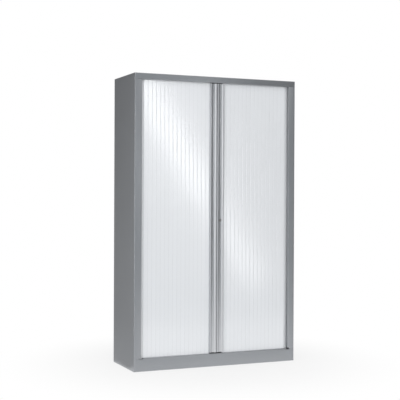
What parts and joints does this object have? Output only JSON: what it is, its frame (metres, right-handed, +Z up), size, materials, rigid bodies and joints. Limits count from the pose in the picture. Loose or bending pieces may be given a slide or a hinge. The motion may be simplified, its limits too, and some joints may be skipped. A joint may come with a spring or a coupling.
{
  "type": "tambour door cabinet",
  "caption": "Tall steel office cabinet with two sliding tambour doors, handle profiles with finger grooves, a cam lock, fixed shelves and levelling feet.",
  "frame": {"origin": "on the floor, under the middle of the cabinet", "axes": "+X to the right seen from the front, +Y towards the back, +Z up; the front faces -Y"},
  "size_m": [1.2, 0.43, 1.98],
  "materials": {
    "silver_grey_paint": "satin silver-grey powder coat",
    "galvanised_steel": "galvanised, dull",
    "white_slat": "smooth white with a soft gloss",
    "track_plastic": "black, extruded",
    "anodised_aluminium": "satin silver anodised",
    "glide_plastic": "black, moulded",
    "nickel": "nickel plated",
    "zinc": "zinc plated",
    "grey_plastic": "grey, moulded"
  },
  "bodies": {
    "cabinet": {"left_side_panel": "silver_grey_paint", "right_side_panel": "silver_grey_paint", "top_panel": "silver_grey_paint", "back_panel": "silver_grey_paint", "front_plinth": "silver_grey_paint", "rear_plinth": "silver_grey_paint", "inner_back_panel": "silver_grey_paint", "left_lining": "silver_grey_paint", "right_lining": "silver_grey_paint", "floor_shelf": "silver_grey_paint", "shelf_1": "silver_grey_paint", "shelf_2": "silver_grey_paint", "shelf_3": "silver_grey_paint", "shelf_4": "silver_grey_paint", "left_base_rail": "galvanised_steel", "right_base_rail": "galvanised_steel", "base_panel": "galvanised_steel", "left_front_rack": "galvanised_steel", "left_rear_rack": "galvanised_steel", "right_front_rack": "galvanised_steel", "right_rear_rack": "galvanised_steel", "left_front_bracket": "galvanised_steel", "left_rear_bracket": "galvanised_steel", "right_front_bracket": "galvanised_steel", "right_rear_bracket": "galvanised_steel", "left_lower_track": "track_plastic", "left_upper_track": "track_plastic", "right_lower_track": "track_plastic", "right_upper_track": "track_plastic", "left_lower_end_stop": "grey_plastic", "left_upper_end_stop": "grey_plastic", "right_lower_end_stop": "grey_plastic", "right_upper_end_stop": "grey_plastic", "left_front_access_cap": "grey_plastic", "left_rear_access_cap": "grey_plastic", "right_front_access_cap": "grey_plastic", "right_rear_access_cap": "grey_plastic", "left_curtain": "white_slat", "right_curtain": "white_slat"},
    "left_door": {"left_handle": "anodised_aluminium", "left_lower_glide": "glide_plastic", "left_upper_glide": "glide_plastic"},
    "right_door": {"right_handle": "anodised_aluminium", "right_lower_glide": "glide_plastic", "right_upper_glide": "glide_plastic", "lock_housing": "nickel", "lock_nut": "zinc"},
    "lock": {"lock_barrel": "nickel", "hook_cam": "zinc", "cam_screw": "zinc"},
    "left_front_leveller": {"left_front_stud": "zinc", "left_front_pad": "grey_plastic"},
    "left_rear_leveller": {"left_rear_stud": "zinc", "left_rear_pad": "grey_plastic"},
    "right_front_leveller": {"right_front_stud": "zinc", "right_front_pad": "grey_plastic"},
    "right_rear_leveller": {"right_rear_stud": "zinc", "right_rear_pad": "grey_plastic"}
  },
  "joints": [
    {"name": "left_door_slide", "type": "slide", "parent": "cabinet", "child": "left_door", "axis": [-1, 0, 0], "range_m": [0, 0.49], "deforming": ["left_curtain"]},
    {"name": "right_door_slide", "type": "slide", "parent": "cabinet", "child": "right_door", "axis": [1, 0, 0], "range_m": [0, 0.49], "deforming": ["right_curtain"]},
    {"name": "lock_turn", "type": "hinge", "parent": "right_door", "child": "lock", "pos_m": [0.0253, -0.2071, 1], "axis": [0, 1, 0], "range_deg": [0, 90]},
    {"name": "left_front_leveller_screw", "type": "slide", "parent": "cabinet", "child": "left_front_leveller", "axis": [0, 0, -1], "range_m": [0, 0.015]},
    {"name": "left_rear_leveller_screw", "type": "slide", "parent": "cabinet", "child": "left_rear_leveller", "axis": [0, 0, -1], "range_m": [0, 0.015]},
    {"name": "right_front_leveller_screw", "type": "slide", "parent": "cabinet", "child": "right_front_leveller", "axis": [0, 0, -1], "range_m": [0, 0.015]},
    {"name": "right_rear_leveller_screw", "type": "slide", "parent": "cabinet", "child": "right_rear_leveller", "axis": [0, 0, -1], "range_m": [0, 0.015]}
  ]
}
